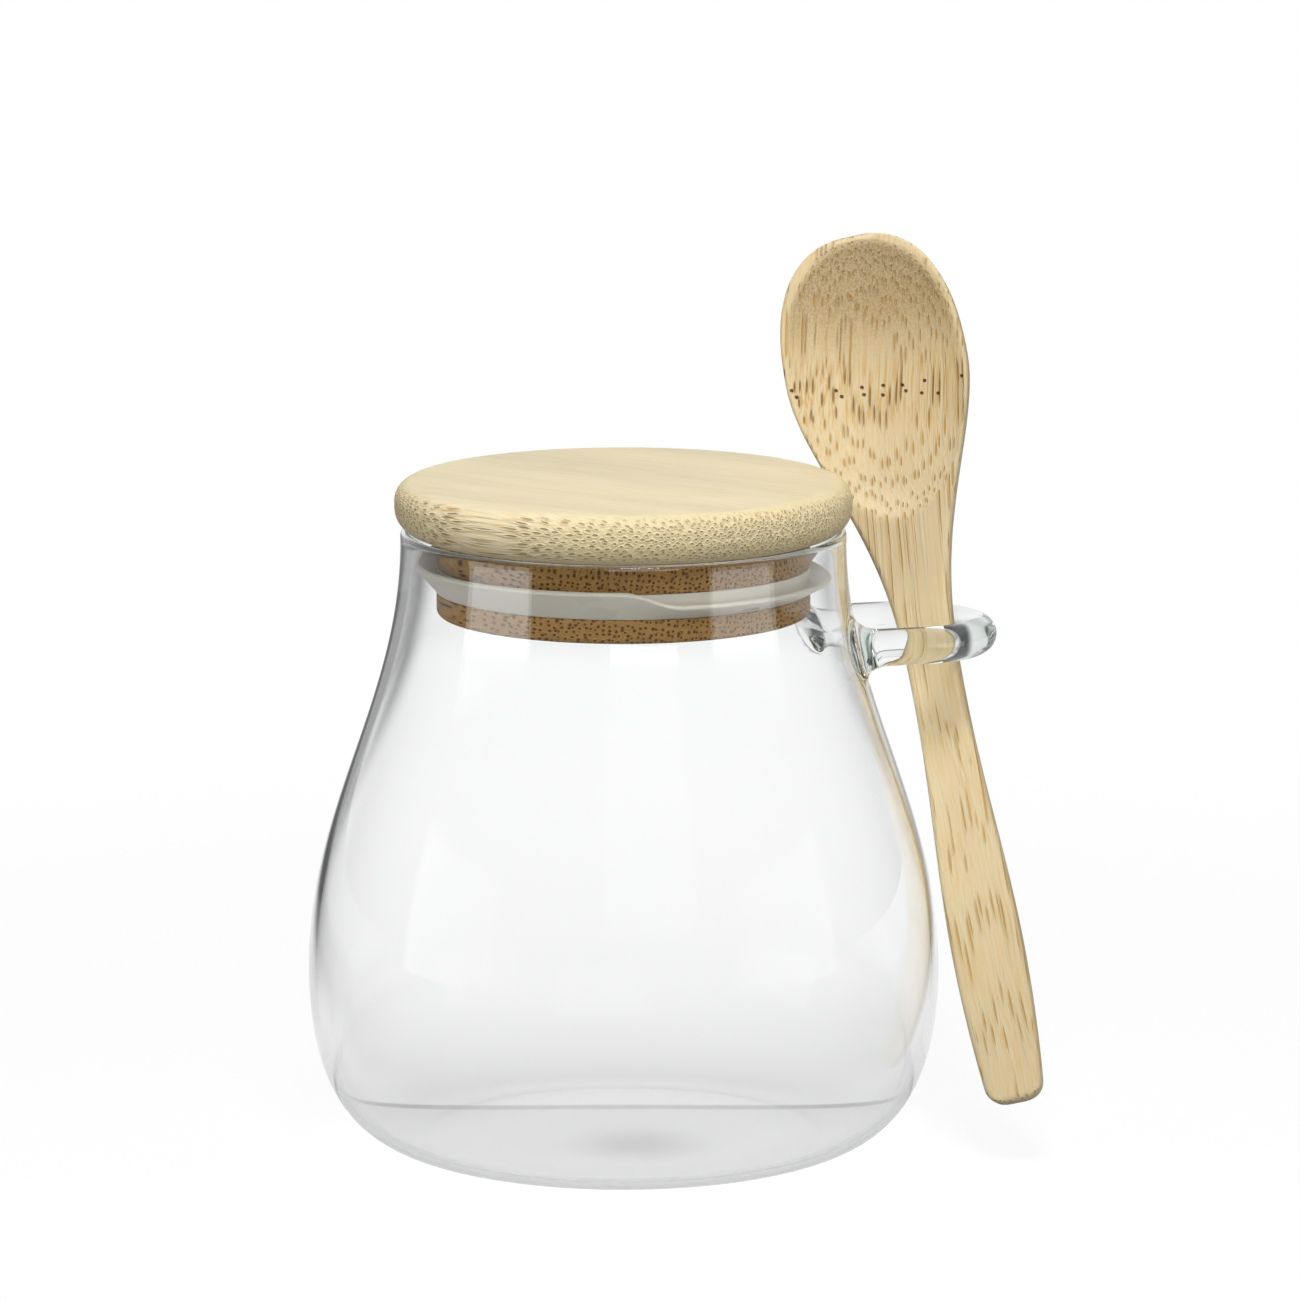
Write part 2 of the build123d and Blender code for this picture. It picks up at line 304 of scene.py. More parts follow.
class Term:
    """An output of a shader node. Sums with it add Math nodes."""

    def __init__(self, socket):
        self.socket = socket
        self.tree = socket.id_data

    def __add__(self, other):
        return calc("ADD", self, other)

    def __sub__(self, other):
        return calc("SUBTRACT", self, other)

    def __rsub__(self, other):
        return calc("SUBTRACT", other, self)

    def __mul__(self, other):
        return calc("MULTIPLY", self, other)

    def __truediv__(self, other):
        return calc("DIVIDE", self, other)

    def __abs__(self):
        return calc("ABSOLUTE", self)


def put(socket, value):
    """Link a socket to a term, or set its own value."""
    if isinstance(value, Term):
        value.tree.links.new(value.socket, socket)
    else:
        socket.default_value = value


def add(tree, kind, values=None, **options):
    """Add a shader node, set its options, and fill its inputs by name or number."""
    node = tree.nodes.new("ShaderNode" + kind)
    for option, value in options.items():
        setattr(node, option, value)
    for key, value in (values or {}).items():
        put(node.inputs[key], value)
    return Made(node)


def calc(operation, *values):
    """The result of a Math node."""
    tree = next(value.tree for value in values if isinstance(value, Term))
    return add(tree, "Math", dict(enumerate(values)), operation=operation)[0]


def larger(first, second):
    """The larger of two values."""
    return calc("MAXIMUM", first, second)


def below(value, limit):
    """1 below a limit, else 0."""
    return calc("LESS_THAN", value, limit)


def vector(operation, values, output=0):
    """The result of a Vector Math node."""
    return add(values[0].tree, "VectorMath", values, operation=operation)[output]


def parts(place):
    """The x, y and z of a vector."""
    made = add(place.tree, "SeparateXYZ", {0: place})
    return made[0], made[1], made[2]


def noise(place, scale=1.0, detail=2.0):
    """A noise texture."""
    return add(place.tree, "TexNoise", {"Vector": place, "Scale": scale, "Detail": detail})


def ease(value, start, end, low=0.0, high=1.0):
    """Ease from low to high while value goes from start to end."""
    inputs = {"Value": value, "From Min": start, "From Max": end, "To Min": low, "To Max": high}
    return add(value.tree, "MapRange", inputs, interpolation_type="SMOOTHSTEP")["Result"]


def blend(factor, first, second):
    """Mix two colours."""
    return add(factor.tree, "Mix", {0: factor, 6: first, 7: second}, data_type="RGBA")[2]


def opaque(shade, level=1.0):
    """A colour with full alpha, times a level."""
    return (shade[0] * level, shade[1] * level, shade[2] * level, 1.0)


def stretched(place, across, along):
    """Coordinates scaled across and along the grain."""
    return add(place.tree, "Mapping", {"Vector": place, "Scale": (across, across, along)})[0]


def new_material(name):
    """An empty node material and its tree."""
    material = bpy.data.materials.new(name)
    material.use_nodes = True
    material.node_tree.nodes.clear()
    return material, material.node_tree


# Mesh helpers

def turns(steps):
    """Equal turns once round."""
    return [2 * pi * step / steps for step in range(steps)]


def arc(middle, radius, start, end, steps):
    """Points on an arc, without its first one."""
    angles = [start + (end - start) * step / steps for step in range(1, steps + 1)]
    return [(middle[0] + radius * cos(a), middle[1] + radius * sin(a)) for a in angles]


def eased(value, start, end):
    """Ease from 0 to 1 while value goes from start to end."""
    part = min(1, max(0, (value - start) / (end - start)))
    return part * part * (3 - 2 * part)


def bezier(points, steps):
    """Points on a cubic curve, without its first one."""
    made = []
    for step in range(1, steps + 1):
        t = step / steps
        weights = ((1 - t) ** 3, 3 * t * (1 - t) ** 2, 3 * t * t * (1 - t), t**3)
        made.append(tuple(sum(w * p[axis] for w, p in zip(weights, points)) for axis in (0, 1)))
    return made


def rounded(points, radii, steps):
    """An open outline whose inner corners are rounded by the given radii."""
    made = [points[0]]
    for before, corner, after, radius in zip(points, points[1:], points[2:], radii):
        here = Vector(corner)
        back = (Vector(before) - here).normalized()
        ahead = (Vector(after) - here).normalized()
        half = back.angle(ahead) / 2
        middle = here + (back + ahead).normalized() * radius / sin(half)
        start = here + back * radius * cos(half) / sin(half) - middle
        end = here + ahead * radius * cos(half) / sin(half) - middle
        first = atan2(start.y, start.x)
        sweep = (atan2(end.y, end.x) - first + pi) % (2 * pi) - pi
        made += [(middle.x + radius * cos(first), middle.y + radius * sin(first))]
        made += arc(middle, radius, first, first + sweep, steps)
    return made + [points[-1]]


def ring(bm, radius, height, segments):
    """A level ring of points round +Z, or one point on the axis."""
    if radius < 1e-7:
        return [bm.verts.new((0, 0, height))]
    return [bm.verts.new((radius * cos(a), radius * sin(a), height)) for a in turns(segments)]


def skin(bm, rings):
    """Faces between each ring and the next, of which some may be single points."""
    for lower, upper in zip(rings, rings[1:]):
        total = max(len(lower), len(upper))
        for step in range(total):
            after = (step + 1) % total
            corners = [lower[step % len(lower)], lower[after % len(lower)]]
            corners += [upper[after % len(upper)], upper[step % len(upper)]]
            bm.faces.new(list(dict.fromkeys(corners)))


def lathe(bm, outline, segments):
    """A closed solid turned from an outline that starts and ends on the axis."""
    rings = [ring(bm, radius, height, segments) for radius, height in outline]
    skin(bm, rings)
    return rings


def add_piece(name, bm, material, body, nodes):
    """Turn a mesh into a piece that rides on a body and stands for its nodes."""
    bmesh.ops.recalc_face_normals(bm, faces=bm.faces[:])
    mesh = bpy.data.meshes.new(name)
    bm.to_mesh(mesh)
    bm.free()
    mesh.shade_smooth()
    mesh.materials.append(material)
    piece = bpy.data.objects.new(name, mesh)
    bpy.context.scene.collection.objects.link(piece)
    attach(piece, body)
    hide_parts(*nodes)
    return piece


# Materials

def blown_glass(jar):
    """Clear glass with faint ripples, which lets lamplight through and greys where it is thick, with painted
    shade in the rod.
    """
    rod_start, rod_end = 44 * MM, 47 * MM
    rod_low, rod_high = 70 * MM, 74 * MM
    neck_low, neck_high = 82 * MM, 87 * MM
    wall_cast = (0.95, 0.955, 0.95, 1)
    # Painted shade: besides setting the rod's shadow, this dark tint dims rays caught inside the rod, so the
    # rod and its bend look darker
    rod_shadow_and_shade = (0.25, 0.255, 0.25, 1)
    material, tree = new_material("blown_glass")
    seat = add(tree, "TexCoord")["Object"]
    ripple = noise(seat, 38.0, 1.0)["Fac"]
    film = noise(seat, 120.0, 3.0)["Fac"]
    bump = add(tree, "Bump", {"Height": ripple, "Strength": 0.12, "Distance": 0.4 * MM})[0]
    x, _, z = parts(seat)
    rod = ease(x, rod_start, rod_end) * ease(z, rod_low, rod_high)
    neck = larger(ease(z, neck_low, neck_high), rod)
    inputs = {"Base Color": WHITE, "Roughness": ease(film, 0.45, 0.8, 0.0, 0.012), "Normal": bump}
    inputs |= {"IOR": jar.refraction, "Transmission Weight": 1.0}
    inputs["Specular Tint"] = blend(neck, opaque((jar.body_shine,) * 3), WHITE)
    glass = add(tree, "BsdfPrincipled", inputs)[0]
    # Lamp rays, and rays caught after several reflections, pass with this tint; in the rod it paints shade
    clear = add(tree, "BsdfTransparent", {"Color": blend(rod, wall_cast, rod_shadow_and_shade)})[0]
    path = add(tree, "LightPath")
    trapped = calc("GREATER_THAN", path["Glossy Depth"], 2.5)
    passing = larger(path["Is Shadow Ray"], trapped)
    mixed = add(tree, "MixShader", {0: passing, 1: glass, 2: clear})[0]
    inside = add(tree, "VolumeAbsorption", {"Color": opaque(jar.tint), "Density": jar.density})[0]
    add(tree, "OutputMaterial", {"Surface": mixed, "Volume": inside})
    return material


def bundle_layer(placed, spacing, radius):
    """Fibre bundles as round cores, each with a raised ring round it."""
    inputs = {"Vector": placed, "Scale": 1 / spacing, "Randomness": 0.65}
    cells = add(placed.tree, "TexVoronoi", inputs, voronoi_dimensions="2D")
    chance = add(placed.tree, "SeparateColor", {0: cells["Color"]})[0]
    reach = ease(chance, 0.0, 1.0, 0.75 * radius / spacing, 1.15 * radius / spacing)
    ratio = cells["Distance"] / reach
    return ease(ratio, 1.35, 0.55), ease(ratio, 1.0, 1.7) * ease(ratio, 3.0, 1.8)


def bamboo_grain(tree, turn, shift):
    """Millimetres with the fibres along z, the same with a wander, and the shares of end and level faces."""
    seat = add(tree, "TexCoord")
    inputs = {"Vector": seat["Object"], "Rotation": turn, "Scale": (1 / MM,) * 3}
    inputs["Location"] = [part / MM for part in shift]
    grain = add(tree, "Mapping", inputs)[0]
    drift = noise(stretched(grain, 0.07, 0.03), 1.0, 1.0)["Color"]
    drift = vector("SUBTRACT", {0: drift, 1: (0.5, 0.5, 0.5)})
    drift = vector("SCALE", {0: drift, "Scale": 2.2})
    axis = Euler(turn).to_matrix().inverted() @ Vector((0, 0, 1))
    facing = vector("DOT_PRODUCT", {0: seat["Normal"], 1: axis}, "Value")
    upward = parts(seat["Normal"])[2]
    return grain, vector("ADD", {0: grain, 1: drift}), abs(facing), abs(upward)


def culm_bend(grain, placed):
    """Fibres that lean over in the spoon's bowl and run out of its handle's face in short dashes."""
    bowl_start, bowl_bend = 60.0, -0.00175
    handle_end, handle_sink = 62.0, 0.055
    station = parts(grain)[2]
    bowl = larger(station - bowl_start, 0.0)
    handle = larger(handle_end - station, 0.0)
    bend = add(grain.tree, "CombineXYZ", {0: bowl * bowl * bowl_bend, 1: handle * handle_sink})[0]
    return vector("ADD", {0: placed, 1: bend})


def pore_row(across, along, middle, seed):
    """One uneven row of round pores, in millimetres."""
    per_mm = 0.3
    inputs = {"W": across + seed, "Scale": per_mm, "Randomness": 0.75}
    cells = add(across.tree, "TexVoronoi", inputs, voronoi_dimensions="1D")
    chance = add(across.tree, "SeparateColor", {0: cells["Color"]})[0]
    aside = cells["Distance"] / per_mm
    rise = along - middle - ease(chance, 0.0, 1.0, -0.7, 0.7)
    pore = ease(calc("SQRT", aside * aside + rise * rise), 0.36, 0.17)
    return pore * below(chance, 0.78)


def node_marks(grain, node):
    """Shares of the spoon's marks, in millimetres: pores across its node, the band round them, the hollow,
    the end above the node, the zone further on where shade is painted into the hollow, and the bowl."""
    row_offset, row_slope = 0.95, 0.14
    first_seed, second_seed = 31.4, 74.0
    band_half, band_soft = 2.5, 7.5
    bowl_start, bowl_end = 84.0, 96.0
    x, depth, station = parts(grain)
    along = station + x * row_slope - node
    first_row = pore_row(x, along, -row_offset, first_seed)
    pores = larger(first_row, pore_row(x, along, row_offset, second_seed))
    band = ease(abs(along), band_soft, band_half)
    hollow = ease(depth, 0.2, 0.9) * ease(depth, 4.7, 4.3)
    above = ease(along, 1.0, 7.0) * hollow
    # Where shade is painted into the hollow, from the node on towards the bowl's end
    painted_shade_zone = ease(along, 0.0, 17.0) * hollow
    return pores, band, hollow, above, painted_shade_zone, ease(station, bowl_start, bowl_end)


def bamboo(name, look, turn, shift=(0, 0, 0), node_station=None):
    """Sanded bamboo: fibre bundles that show as streaks along the grain and as ringed dots across it."""
    material, tree = new_material(name)
    has_node = node_station is not None
    grain, placed, end_grain, upward = bamboo_grain(tree, turn, shift)
    if has_node:
        placed = culm_bend(grain, placed)
    side = ease(upward, 0.97, 0.6)
    across = ease(end_grain, 0.05, 0.4)
    patch = noise(stretched(placed, 0.9, 0.09), 1.0, 1.0)["Fac"]
    present = larger(ease(patch, 0.34, 0.5), ease(end_grain, 0.06, 0.2))
    contrast = ease(end_grain, 0.05, 0.4, look["long"], look["end"])
    contrast *= ease(side, 0.0, 1.0, look["top"], 1.0)
    fine = noise(stretched(placed, 3.2, 0.05), 1.0, 3.0)["Fac"]
    streak = ease(fine, 0.42, 0.7)
    core, rim = bundle_layer(placed, look["spacing"], look["radius"])
    if has_node:
        pores, band, hollow, above, painted_shade_zone, bowl = node_marks(grain, node_station / MM)
        present = larger(present, bowl)
        contrast += band * 0.3
        small = bundle_layer(placed, 0.82 * look["spacing"], 0.72 * look["radius"])
        pairs = zip((core, rim), small)
        core, rim = [add(tree, "Mix", {0: above, 2: large, 3: little})[0] for large, little in pairs]
    raised = rim * present * contrast
    streaks = core * present * contrast
    height = fine * 0.3 + raised * 0.6 - streaks

    tone = noise(stretched(grain, 0.09, 0.015))["Fac"]
    shade = blend(ease(tone, 0.3, 0.7), opaque(look["wood"], 0.94), opaque(look["wood"], 1.04))
    shade = blend(ease(end_grain, 0.08, 0.45, 0.0, 0.9), shade, opaque(look["across"]))
    golden = streak * ease(side, 0.0, 1.0, 0.2, look["golden"]) * ease(across, 0.0, 1.0, 1.0, 0.4)
    shade = blend(golden, shade, opaque(look["bundle"], 1.25))
    shade = blend(raised * look["halo"] * across, shade, opaque(look["wood"], 1.03))
    ink = opaque(look["bundle"])
    if has_node:
        warm = band * hollow * ease(streak, 0.0, 1.0, 0.05, 0.5)
        shade = blend(warm, shade, opaque(look["bundle"], 0.9))
        # Painted shade: the hollow is darkened with a noisy brown from the node on towards the bowl's end
        painted_hollow_shade = ease(noise(grain, 3.2)["Fac"], 0.38, 0.64, 0.38, 0.62) * painted_shade_zone
        shade = blend(painted_hollow_shade, shade, opaque(look["bundle"], 0.33))
        ink = blend(band, ink, opaque(look["bundle"], 0.58))
    shade = blend(streaks, shade, ink)
    if has_node:
        shade = blend(pores, shade, opaque(look["bundle"], 0.2))
        height -= pores * 3.0

    bump = add(tree, "Bump", {"Height": height, "Strength": 1.0, "Distance": look["relief"] * MM})[0]
    inputs = {"Base Color": shade, "Roughness": ease(fine, 0.2, 0.8, 0.42, 0.62), "Normal": bump}
    inputs["Specular IOR Level"] = 0.25
    add(tree, "OutputMaterial", {"Surface": add(tree, "BsdfPrincipled", inputs)[0]})
    return material


def silicone(seal):
    """Milky silicone with a soft, slightly uneven sheen."""
    material, tree = new_material("milky_silicone")
    cloud = noise(add(tree, "TexCoord")["Object"], 90.0)["Fac"]
    shade = blend(cloud, opaque(seal.silicone, 0.93), opaque(seal.silicone, 1.05))
    inputs = {"Base Color": shade, "Roughness": ease(cloud, 0.3, 0.7, 0.26, 0.4), "IOR": 1.41}
    inputs |= {"Subsurface Weight": 0.25, "Subsurface Radius": (2 * MM,) * 3}
    add(tree, "OutputMaterial", {"Surface": add(tree, "BsdfPrincipled", inputs)[0]})
    return material


# Jar and loop

class Wall:
    """The jar's section, and how far its outer face stands from the axis."""
    punt_steps = 12
    rim_steps = 12
    floor_steps = 16

    def __init__(self, jar):
        self.jar = jar
        self.rim_round = jar.rim_wall / 2
        self.rim_base = jar.height - self.rim_round
        self.rim_inside = jar.rim_radius - jar.rim_wall
        self.heel_rings = jar.wall_rings // 2
        self.outer_count = self.punt_steps + 2 + self.heel_rings + jar.wall_rings

    def lower(self, foot, belly, bottom):
        """Control points of one face from the foot to the belly."""
        jar = self.jar
        heel = (foot + jar.heel_reach, bottom)
        return [(foot, bottom), heel, (belly, jar.belly_height - jar.heel_drop), (belly, jar.belly_height)]

    def upper(self, belly, rim):
        """Control points of one face from the belly to the rim."""
        jar = self.jar
        above = (belly, jar.belly_height + jar.belly_rise)
        return [(belly, jar.belly_height), above, (rim, self.rim_base - jar.neck_drop), (rim, self.rim_base)]

    def outline(self):
        """The closed section, from the middle of the underside to the middle of the floor."""
        jar = self.jar
        flat = jar.foot_radius * jar.foot_flat
        punt = [(0, jar.punt_rise), (flat / 2, jar.punt_rise), (flat / 2, 0), (flat, 0)]
        made = [punt[0]] + bezier(punt, self.punt_steps) + [(jar.foot_radius, 0)]
        made += bezier(self.lower(jar.foot_radius, jar.belly_radius, 0), self.heel_rings)
        made += bezier(self.upper(jar.belly_radius, jar.rim_radius), jar.wall_rings)
        rim_middle = (jar.rim_radius - self.rim_round, self.rim_base)
        made += arc(rim_middle, self.rim_round, 0, pi, self.rim_steps)
        foot = jar.foot_radius - jar.floor_inset
        belly = jar.belly_radius - jar.belly_wall
        made += bezier(self.upper(belly, self.rim_inside)[::-1], jar.wall_rings)
        made += bezier(self.lower(foot, belly, jar.base_thickness)[::-1], self.heel_rings)
        low, high = jar.base_thickness, jar.base_thickness + jar.floor_dome
        return made + bezier([(foot, low), (foot / 2, low), (foot / 2, high), (0, high)], self.floor_steps)

    def radius_at(self, height):
        """Radius of the outer face at a height above the belly."""
        curve = bezier(self.upper(self.jar.belly_radius, self.jar.rim_radius), 400)
        for (near, low), (far, high) in zip(curve, curve[1:]):
            if low <= height <= high:
                return near + (far - near) * (height - low) / (high - low)
        raise ValueError(f"the wall has no height {height}")


def loop_rings(bm, jar, wall, bend_centre):
    """Rings of the bent rod from one weld to the other, each weld opening out onto the wall."""
    offset = jar.loop_spacing / 2
    sides = turns(jar.rod_sides)
    up = Vector((0, 0, 1))
    weld_steps = 9

    def weld(side):
        """Rings of one weld, from the wall out to the rod."""
        made = []
        across = Vector((0, -side, 0))
        middle = Vector((0, side * offset, loop_height))
        spread = jar.weld_spread * (1 if side < 0 else jar.back_weld)
        for step in range(weld_steps, -1, -1):
            turn = pi / 2 * step / weld_steps
            full = jar.rod_radius + spread * (1 - cos(turn))
            lift = jar.weld_length * (1 - sin(turn))
            points = []
            for a in sides:
                reach = full * (1 + jar.weld_wobble * cos(turn) * sin(3 * a + side) * sin(2 * turn + a))
                spot = across * (cos(a) * reach) + up * (sin(a) * reach) + middle
                radius = wall.radius_at(spot.z)
                spot.x = sqrt(radius**2 - spot.y**2) + lift
                points.append(bm.verts.new(spot))
            made.append(points)
        return made

    def rod_ring(middle, across):
        """A round ring of the plain rod."""
        spots = [middle + (across * cos(a) + up * sin(a)) * jar.rod_radius for a in sides]
        return [bm.verts.new(spot) for spot in spots]

    front, back = weld(-1), weld(1)
    rings = list(front)
    for step in range(jar.bend_steps + 1):
        turn = pi * step / jar.bend_steps - pi / 2
        outwards = Vector((cos(turn), sin(turn), 0))
        rings.append(rod_ring(Vector((bend_centre, 0, loop_height)) + outwards * offset, -outwards))
    skin(bm, rings + back[::-1])
    return front[0], back[0]


def open_wall(bm, rings, weld_ring):
    """Cut the wall's faces away under a weld and join the edge of the cut to the weld."""
    margin = 1.04
    middle = sum((vert.co for vert in weld_ring), Vector()) / len(weld_ring)
    reach = max(hypot(vert.co.y - middle.y, vert.co.z - middle.z) for vert in weld_ring)
    wall_verts = {vert for loop in rings for vert in loop}

    def covered(vert):
        """Whether a point of the wall lies under the weld."""
        near = hypot(vert.co.y - middle.y, vert.co.z - middle.z) < reach * margin
        return near and vert.co.x > 0

    under = [face for face in bm.faces if any(covered(vert) for vert in face.verts)]
    under = [face for face in under if all(vert in wall_verts for vert in face.verts)]
    if not under:
        raise RuntimeError("a weld lies off the jar's wall")
    inner = {edge for face in under for edge in face.edges}
    edge_loop = [edge for edge in inner if any(face not in under for face in edge.link_faces)]
    bmesh.ops.delete(bm, geom=under, context="FACES")
    weld_edges = list({edge for vert in weld_ring for edge in vert.link_edges if edge.is_boundary})
    bmesh.ops.bridge_loops(bm, edges=[edge for edge in edge_loop if edge.is_valid] + weld_edges)


class JAMPOT_OT_glass(Operator):
    """Blow the glass jar and fuse the rod loop to its side"""
    bl_idname = "jampot.glass"
    bl_label = "Glass jar and loop"

    def execute(self, context):
        jar = context.scene.jam_pot.jar
        wall = Wall(jar)
        bm = bmesh.new()
        rings = lathe(bm, wall.outline(), jar.segments)
        bend_centre = loop_high.x - jar.rod_radius - jar.loop_spacing / 2
        for weld_ring in loop_rings(bm, jar, wall, bend_centre):
            open_wall(bm, rings[:wall.outer_count], weld_ring)
        add_piece("jar_glass", bm, blown_glass(jar), "jar", ("jar_body", "spoon_loop"))
        return {"FINISHED"}


# Lid

def grain_turn(direction):
    """Turn that brings a level grain direction onto +Z."""
    level = Vector((cos(direction), sin(direction), 0))
    return tuple(level.rotation_difference(Vector((0, 0, 1))).to_euler())


class JAMPOT_OT_lid(Operator):
    """Turn the bamboo disc and the bamboo plug of the lid"""
    bl_idname = "jampot.lid"
    bl_label = "Bamboo lid"

    def execute(self, context):
        lid = context.scene.jam_pot.lid
        self.disc(lid)
        self.plug(lid)
        return {"FINISHED"}

    def disc(self, lid):
        """The thick disc that lies on the rim."""
        bm = bmesh.new()
        corners = [(0, lid.underside), (lid.radius, lid.underside), (lid.radius, lid.top), (0, lid.top)]
        lathe(bm, rounded(corners, (lid.under_round, lid.top_round), 12), lid.segments)
        look = {"wood": lid.board, "bundle": lid.board_bundle, "across": lid.board_across}
        look |= {"spacing": lid.bundle_spacing / MM, "radius": lid.bundle_radius / MM, "relief": 0.3}
        look |= {"long": lid.long_contrast, "end": lid.end_contrast, "top": lid.calm_top}
        look |= {"golden": 0.6, "halo": 0.8}
        wood = bamboo("board_bamboo", look, grain_turn(lid.board_turn))
        add_piece("lid_board", bm, wood, "lid", ("lid_disc",))

    def plug(self, lid):
        """The narrower plug under the disc, with its groove."""
        bm = bmesh.new()
        floor = lid.plug_underside + lid.plug_foot
        roof = floor + lid.groove_height
        outer = lid.plug_radius
        inner = outer - lid.groove_depth
        corners = [(0, lid.plug_underside), (outer, lid.plug_underside), (outer, floor), (inner, floor)]
        corners += [(inner, roof), (outer, roof), (outer, lid.underside), (0, lid.underside)]
        lathe(bm, rounded(corners, (lid.plug_round,) + (lid.edge_break,) * 5, 6), lid.segments)
        look = {"wood": lid.stopper, "bundle": lid.stopper_bundle, "across": lid.stopper_across}
        look |= {"spacing": 1.1 * lid.bundle_spacing / MM, "radius": 1.3 * lid.bundle_radius / MM}
        look |= {"long": 0.9, "end": 0.9, "top": 1.0, "golden": 0.4, "halo": 0.5, "relief": 0.16}
        wood = bamboo("stopper_bamboo", look, grain_turn(lid.stopper_turn))
        add_piece("lid_stopper", bm, wood, "lid", ("lid_plug",))


# Seal

class JAMPOT_OT_seal(Operator):
    """Mould the silicone seal, its lip standing up on one side and tucked down on the other"""
    bl_idname = "jampot.seal"
    bl_label = "Silicone seal"

    def execute(self, context):
        seal = context.scene.jam_pot.seal
        lid = context.scene.jam_pot.lid
        bm = bmesh.new()
        sections = []
        for turn in turns(seal.segments):
            points = self.section(seal, lid, self.fall(seal, turn))
            sections.append([bm.verts.new((r * cos(turn), r * sin(turn), z)) for r, z in points])
        skin(bm, sections + sections[:1])
        add_piece("seal_lip", bm, silicone(seal), "seal", ("seal_ring",))
        return {"FINISHED"}

    def fall(self, seal, turn):
        """How far the lip's edge is tucked down at a turn round the lid."""
        middle = (seal.tuck_start + seal.tuck_end) / 2
        half = (seal.tuck_end - seal.tuck_start) / 2
        away = abs((turn - middle + pi) % (2 * pi) - pi)
        return seal.lip_fall * eased((half - away) / seal.tuck_slope, -0.5, 0.5)

    def section(self, seal, lid, fall):
        """The ring's section: a band in the groove and a lip that flares up and out."""
        edge = lid.plug_radius
        inside = edge - lid.groove_depth + seal.band_gap
        bottom, top = seal.bottom, seal.bottom + seal.band_height
        middle = bottom + seal.band_height / 2
        high = seal.lip_high - fall
        thick = seal.lip_thickness
        corners = [(inside, middle), (inside, bottom), (edge, bottom)]
        corners += [(seal.lip_radius, high - thick / 2), (seal.lip_radius - thick, high)]
        corners += [(edge, bottom + seal.lip_root), (edge, top), (inside, top), (inside, middle)]
        radii = (seal.band_round,) * 2 + (seal.edge_round,) * 2 + (seal.band_round,) * 3
        return rounded(corners, radii, 4)[:-1]


# Spoon

class SpoonForm:
    """The spoon in its own frame: width along x, face at y = 0, and z up the spoon."""
    face_steps = 24
    back_steps = 8
    hollow_margin = 6 * MM
    end_share = 0.4
    most_short = 0.98
    face_share = 0.25
    back_share = 0.7

    def __init__(self, spoon):
        self.spoon = spoon

    def half_width(self, station):
        """Half the width at a station along the spoon."""
        s = self.spoon
        handle, neck, bowl = s.handle_width / 2, s.neck_width / 2, s.bowl_width / 2
        if station < s.handle_station:
            part = 1 - station / s.handle_station
            short = max(0, s.tip_round - station)
            corner = s.tip_round - sqrt(s.tip_round**2 - short**2)
            return handle - (handle - s.tip_width / 2) * part**2 - corner
        if station < s.neck_station:
            return handle + (neck - handle) * eased(station, s.handle_station, s.neck_station)
        if station < s.bowl_station:
            part = (station - s.neck_station) / (s.bowl_station - s.neck_station)
            return neck + (bowl - neck) * eased(part**s.shoulder_bias, 0, 1)
        part = (station - s.bowl_station) / (s.length - s.bowl_station)
        return bowl * max(0, 1 - part**s.bowl_fullness) ** (1 / s.bowl_fullness)

    def depth(self, station):
        """The thickness at a station."""
        s = self.spoon
        into = eased(station, s.neck_station, s.bowl_station)
        full = s.handle_thickness + (s.bowl_thickness - s.handle_thickness) * into
        part = max(0, (station - s.bowl_station) / (s.length - s.bowl_station))
        return full - (full - s.end_thickness) * part**s.end_taper

    def hollow(self, across, station):
        """How deep the hollow is at a point of the face, with a softened edge."""
        s = self.spoon
        if station <= s.hollow_low - self.hollow_margin:
            return 0
        below_deepest = station < s.hollow_deepest
        span = s.hollow_deepest - s.hollow_low if below_deepest else s.hollow_high - s.hollow_deepest
        along = abs(station - s.hollow_deepest) / span
        power = 2 if below_deepest else s.bowl_fullness
        inside = max(0, 1 - along**power - (2 * across / s.hollow_width) ** 2)
        return s.hollow_depth * inside / (inside + s.hollow_lip) ** (1 - s.hollow_fullness)

    def section(self, station):
        """Points round the spoon at a station, thinner within a rounding of either end."""
        s = self.spoon
        half = self.half_width(station)
        depth = self.depth(station)
        short = max(0.0, 1 - min(station, s.length - station) / s.edge_round)
        front = min(s.edge_round, depth * self.end_share) * (1 - sqrt(1 - min(short, self.most_short) ** 2))
        back = depth - front
        thick = back - front
        into = eased(station, s.neck_station, s.bowl_station)
        face_round = min(s.edge_round * (1 - 0.5 * into), self.face_share * min(half, thick))
        back_round = s.edge_round + (s.bowl_round - s.edge_round) * into
        back_round = min(back_round, self.back_share * min(half, thick))
        made = []
        for step in range(2 * self.face_steps + 1):
            x = (half - face_round) * (step / self.face_steps - 1)
            hollow = min(self.hollow(x, station), thick - s.least_thickness)
            made.append((x, front + max(0, hollow)))
        right = arc((half - face_round, front + face_round), face_round, -pi / 2, 0, 5)
        right += arc((half - back_round, back - back_round), back_round, 0, pi / 2, 9)
        made += right
        flat = half - back_round
        made += [(flat * (1 - step / self.back_steps), back) for step in range(1, 2 * self.back_steps)]
        return made + [(-x, y) for x, y in reversed(right)]


